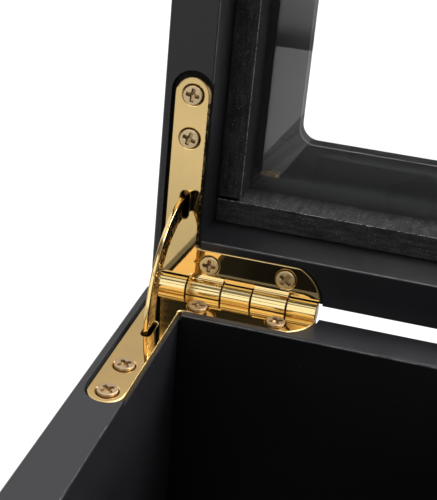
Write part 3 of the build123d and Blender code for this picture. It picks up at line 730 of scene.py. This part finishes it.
def make_screws(name, matrix, side, mirror, turns):
    s = Shape()
    places = BODY_SCREWS if side < 0 else LID_SCREWS
    nr, na = 36, 128
    flat = HEAD_R - 0.17
    top = PROUD - 0.05
    for (x0, s0), turn in zip(places, turns):
        c, q = math.cos(turn), math.sin(turn)
        # the lid's arm screws take the lighter plating copy: painted light
        face = 2 if side > 0 and s0 < 20 else 0

        def depth(r, a):
            lx, ly = r * math.cos(a), r * math.sin(a)
            return cross_depth(lx * c + ly * q, -lx * q + ly * c)

        verts = [(x0, -s0, side * (LEAF_Z - (PROUD - depth(0.0, 0.0))))]
        rings = []
        for i in range(1, nr + 1):
            r = flat * i / nr
            rings.append((r, [PROUD - 0.05 * (r / flat) ** 2 - depth(r, 2 * math.pi * k / na) for k in range(na)]))
        for dr, drop in ((0.08, 0.015), (0.13, 0.06), (0.16, 0.12), (0.17, 0.2)):
            rings.append((flat + dr, [top - drop] * na))
        for r, h in ((HEAD_R, -0.1), (1.3, -1.15), (1.1, -1.3), (1.1, -8.8)):
            rings.append((r, [h] * na))
        for r, hs in rings:
            for k in range(na):
                a = 2 * math.pi * k / na
                verts.append((x0 + r * math.cos(a), -s0 + r * math.sin(a), side * (LEAF_Z - hs[k])))
        verts.append((x0, -s0, side * (LEAF_Z + 10.7)))
        faces = [[0, 1 + (k + 1) % na, 1 + k] for k in range(na)]
        mats = [1] * na
        for j in range(len(rings) - 1):
            o = 1 + j * na
            for k in range(na):
                faces.append([o + k, o + (k + 1) % na, o + na + (k + 1) % na, o + na + k])
                inside = j < nr - 1 and depth((rings[j][0] + rings[j + 1][0]) / 2, 2 * math.pi * (k + 0.5) / na) > 0.14
                mats.append(1 if inside else face)
        o = 1 + (len(rings) - 1) * na
        faces += [[o + k, o + (k + 1) % na, len(verts) - 1] for k in range(na)]
        mats += [0] * na
        s.add(verts, faces, True, mats)
    return s.piece(name, matrix, mirror, [shaded_screw_plating if side < 0 else screw_metal, recess, lit_screw_plating], sharp=math.radians(38))


def make_stay(name, mirror):
    """curved stay about the hinge axis; angles run from the box's front direction up to the lid"""
    s = Shape()
    open_deg = math.degrees(OPEN)
    a0, a1 = -STAY_END, open_deg + STAY_END
    r = 0.22

    def section(ro):
        out = []
        for cx, cz, st in ((STAY_X + STAY_T - r, ro - r, 0), (STAY_X + r, ro - r, 90),
                           (STAY_X + r, STAY_RI + r, 180), (STAY_X + STAY_T - r, STAY_RI + r, 270)):
            for k in range(4):
                a = math.radians(st + 30 * k)
                out.append((cx + r * math.cos(a), cz + r * math.sin(a)))
        return out

    stations = [(a0, NIB_R), (a0 + NIB_DEG, NIB_R), (a0 + NIB_DEG + 0.02, STAY_RO)]
    k = a0 + NIB_DEG + 1.0
    while k < a1 - NIB_DEG - 1.0:
        stations.append((k, STAY_RO))
        k += 1.5
    stations += [(a1 - NIB_DEG - 0.02, STAY_RO), (a1 - NIB_DEG, NIB_R), (a1, NIB_R)]
    rings = []
    for deg, ro in stations:
        a = math.radians(deg)
        rings.append([(x, -q * math.cos(a), q * math.sin(a)) for x, q in section(ro)])
    n = len(rings[0])
    low, high = STAY_X + 0.01, STAY_X + STAY_T - 0.01
    flat = [1 if max(q[0] for q in e) < low or min(q[0] for q in e) > high else 0
            for e in zip(section(STAY_RO), section(STAY_RO)[1:] + section(STAY_RO)[:1])]
    for k, (p0, p1) in enumerate(zip(rings, rings[1:])):
        nib = k < 2 or k > len(rings) - 4
        s.add(p0 + p1, [[i, (i + 1) % n, n + (i + 1) % n, n + i] for i in range(n)], True, 1 if nib else flat)
    for ring in (rings[0], rings[-1]):
        s.add(ring, [list(range(n))], False, 1)
    return s.piece(name, BOXM, mirror, [brass_stay, brass_flank], sharp=math.radians(40))


def fuzz(q, scale, amount, seed):
    v = Vector((q[0] * scale + seed, q[1] * scale, q[2] * scale))
    return noise.noise(v) * amount


def make_strip(name, x0, x1, s0, s1, mat, seed, inner, step=0.8):
    """sawn board strip in the lid, its faces and arrises a little uneven; coordinates in the lid's frame.
    inner is the axis and end of the side that faces the window, whose free arris shows wear"""
    s = Shape()
    lo, hi = (x0, -s1, ZS), (x1, -s0, ZS + STRIP_H)
    at_axis = []
    for a, b in zip(lo, hi):
        m = max(2, int(round((b - a - 0.5) / step)))
        at_axis.append([a, a + 0.10] + [a + 0.25 + (b - a - 0.5) * k / m for k in range(m + 1)] + [b - 0.10, b])
    n = [len(q) - 1 for q in at_axis]
    index, verts, faces, wear, own = {}, [], [], [], []

    def at(key):
        if key not in index:
            q = [at_axis[m][key[m]] for m in range(3)]
            on = [key[m] in (0, n[m]) for m in range(3)]
            edges = sum(on)
            for m in range(3):
                if on[m]:
                    d = 0.05 + fuzz(q, 1.1, 0.05, seed + m * 7) + fuzz(q, 0.23, 0.05, seed + m * 11 + 3)
                    if edges > 1:
                        d += 0.07 + fuzz(q, 2.3, 0.07, seed + 5)
                    if key[2] == n[2]:
                        d = 0.0 if m == 2 else min(d, 0.05)
                    q[m] += max(0.0, d) * (1 if key[m] == 0 else -1)
            near_z = {0: 0, 1: 1}.get(key[2], 9)
            i = key[inner[0]] if inner[1] == 0 else n[inner[0]] - key[inner[0]]
            near_side = {0: 0, 1: 1}.get(i, 9)
            far = near_z + near_side
            wear_and_highlight = 1.0 if far == 0 else 0.45 if far == 1 else 0.12 if edges > 1 else 0.0
            index[key] = len(verts)
            verts.append(tuple(q))
            wear.append(wear_and_highlight)
        return index[key]

    for m in range(3):
        u, v_ = [q for q in range(3) if q != m]
        for end in (0, n[m]):
            for a in range(n[u]):
                for b in range(n[v_]):
                    quad = []
                    for da, db in ((0, 0), (1, 0), (1, 1), (0, 1)):
                        c = [0, 0, 0]
                        c[m], c[u], c[v_] = end, a + da, b + db
                        quad.append(at(tuple(c)))
                    faces.append(quad)
                    # the side facing the window takes a darker board copy: painted shade
                    own.append((0 if inner != (m, 1 if end else 0) else 1 if m == 0 else 2))
    s.add(verts, faces, True, own)
    ob = s.piece(name, LIDM, False, [mat, board_shaded_short_side, board_shaded_long_side], offset=0.0, sharp=math.radians(50))
    layer = ob.data.attributes.new("wear", "FLOAT", "POINT")
    layer.data.foreach_set("value", wear)
    return ob


def make_felt():
    """felt sheet with softly rounded, slightly wavy edges"""
    s = Shape()
    hw, hd = (W - 4.0) / 2, (D - 3.0) / 2
    loop = []
    for cx, cy, st in ((hw - 1.5, hd - 1.5, 0), (-hw + 1.5, hd - 1.5, 90), (-hw + 1.5, -hd + 1.5, 180), (hw - 1.5, -hd + 1.5, 270)):
        corner = [(cx + 1.5 * math.cos(math.radians(st + 15 * k)), cy + 1.5 * math.sin(math.radians(st + 15 * k))) for k in range(7)]
        if loop:
            loop += line2(loop[-1], corner[0], 2.0)[1:]
        loop += corner
    loop += line2(loop[-1], loop[0], 2.0)[1:]
    wavy = []
    for x, y in loop:
        d = 0.15 + 0.15 * noise.noise(Vector((x * 0.09, y * 0.09, 3.0))) + 0.08 * noise.noise(Vector((x * 0.6, y * 0.6, 9.0)))
        ln = math.hypot(x, y)
        wavy.append((x - x / ln * d, y - y / ln * d))
    rings = []
    for d, z in ((0.25, 0.0), (0.06, 0.14), (0.0, 0.4), (0.02, 0.75), (0.12, 1.0)):
        rings.append([(x, y, z) for x, y in inset(wavy, d)])
    n = len(loop)
    for a, b in zip(rings, rings[1:]):
        s.add(a + b, [[i, (i + 1) % n, n + (i + 1) % n, n + i] for i in range(n)], True, 0)
    for ring in (rings[0], rings[-1]):
        s.add(ring, [list(t) for t in tessellate_polygon([[Vector(q) for q in ring]])], False, 0)
    return s.piece("felt_base", Matrix.Identity(4), False, [felt_mat], offset=0.0, sharp=math.radians(60))


# ------------------------------------------------------------------ hinges
SIDES = (("left", False), ("right", True))
for word, mirror in SIDES:
    ob = make_leaf(word + "_body_leaf_plate", BOXM, -1, mirror)
    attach(ob, "box")
    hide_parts(word + "_body_leaf")
    ob = make_leaf(word + "_lid_leaf_plate", LIDM, 1, mirror)
    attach(ob, "lid")
    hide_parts(word + "_lid_leaf")
    turns = (0.70, 0.82, 0.15, 0.5) if not mirror else (0.2, 1.1, 0.6, 0.95)
    ob = make_screws(word + "_body_screw_heads", BOXM, -1, mirror, turns)
    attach(ob, "box")
    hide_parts(word + "_body_screws")
    turns = (0.34, 0.13, 0.03, 0.62) if not mirror else (1.2, 0.5, 0.8, 0.3)
    ob = make_screws(word + "_lid_screw_heads", LIDM, 1, mirror, turns)
    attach(ob, "lid")
    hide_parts(word + "_lid_screws")
    ob = make_stay(word + "_curved_stay", mirror)
    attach(ob, "stay_" + word)
    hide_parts(word + "_stay")

# ------------------------------------------------------------------ pane strips and felt
strips = {
    "pane_strip_back": (-X_IN, X_IN, S_IN, S_IN + STRIP_W, board_x, 11.0, (1, 0)),
    "pane_strip_front": (-X_IN, X_IN, S_OUT - STRIP_W, S_OUT, board_x, 29.0, (1, 1)),
    "pane_strip_left": (-X_IN, -X_IN + STRIP_W, S_IN + STRIP_W + 0.7, S_OUT - STRIP_W - 0.7, board_s, 47.0, (0, 1)),
    "pane_strip_right": (X_IN - STRIP_W, X_IN, S_IN + STRIP_W + 0.7, S_OUT - STRIP_W - 0.7, board_s, 65.0, (0, 0)),
}
for node, spec in strips.items():
    ob = make_strip(node + "_board", *spec)
    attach(ob, "lid")
    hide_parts(node)

felt = make_felt()
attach(felt, "box")
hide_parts("base_felt")

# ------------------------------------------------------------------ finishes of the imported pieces
INSIDE = {"bottom_panel": shaded_inner_lacquer}
SIDE_WALLS = ("left_wall", "right_wall")
for name, ob in N.items():
    mats = [lacquer]
    if name == "window_pane":
        mats = [glass]
    elif "divider" in name:
        mats = [divider_lacquer]
    elif name in INSIDE:
        mats = [INSIDE[name]]
    elif "pin" in name:
        mats = [gap_shade_brass]
    elif name == "lid_top_panel":
        mats = [lacquer, raw_edge, behind_glass]
    elif name.endswith("_wall") or name.endswith("_rail"):
        mats = [lacquer, routed, lit_side_lacquer if name.endswith(SIDE_WALLS) else shaded_lid_lacquer if name.endswith("_rail") else shaded_inner_lacquer]
    if name == "window_pane":
        ob.visible_shadow = False
    ob.data.materials.clear()
    for m in mats:
        ob.data.materials.append(m)
    me = ob.data
    if name == "lid_top_panel":
        hx, hs0, hs1 = W / 2 - WIN_SIDE, AXIS_BACK + WIN_END, AXIS_BACK + D - WIN_END
        for f in me.polygons:
            q = LIDI @ (Vector(f.center) / MM)
            if abs(q.x) < hx + 0.1 and hs0 - 0.1 < -q.y < hs1 + 0.1:
                f.material_index = 1
            elif abs(q.z - Z1) < 0.05:
                f.material_index = 2
    elif len(mats) == 3:
        lid = name.startswith("lid")
        inv, side = (LIDI, 1) if lid else (BOXI, -1)
        for f in me.polygons:
            q = inv @ (Vector(f.center) / MM)
            x = abs(q.x) + HX
            u, s_, d = -HX - abs(q.x), -q.y, side * q.z
            inside = -1.0 < u < 39.0 and -1.6 < s_ < 51.0 and 0.56 < d < 2.1 and (u < 9.2 or s_ < 10.3)
            deep = 2.05 <= d < 26 and 2.6 < u < 5.5 and 2.0 < s_ < 26
            holes_ = 2.05 <= d < 13 and min(math.hypot(u - a, s_ - b) for a, b in BODY_SCREWS + LID_SCREWS) < 1.3
            outer_face = s_ < -1.38 + 2.8 and abs(d) > 2.1
            if (inside or deep or holes_) and not (outer_face and not holes_ and not inside):
                f.material_index = 1
            elif abs(q.x) < X_IN + 0.05 and S_IN - 0.05 < s_ < S_OUT + 0.05:
                f.material_index = 2
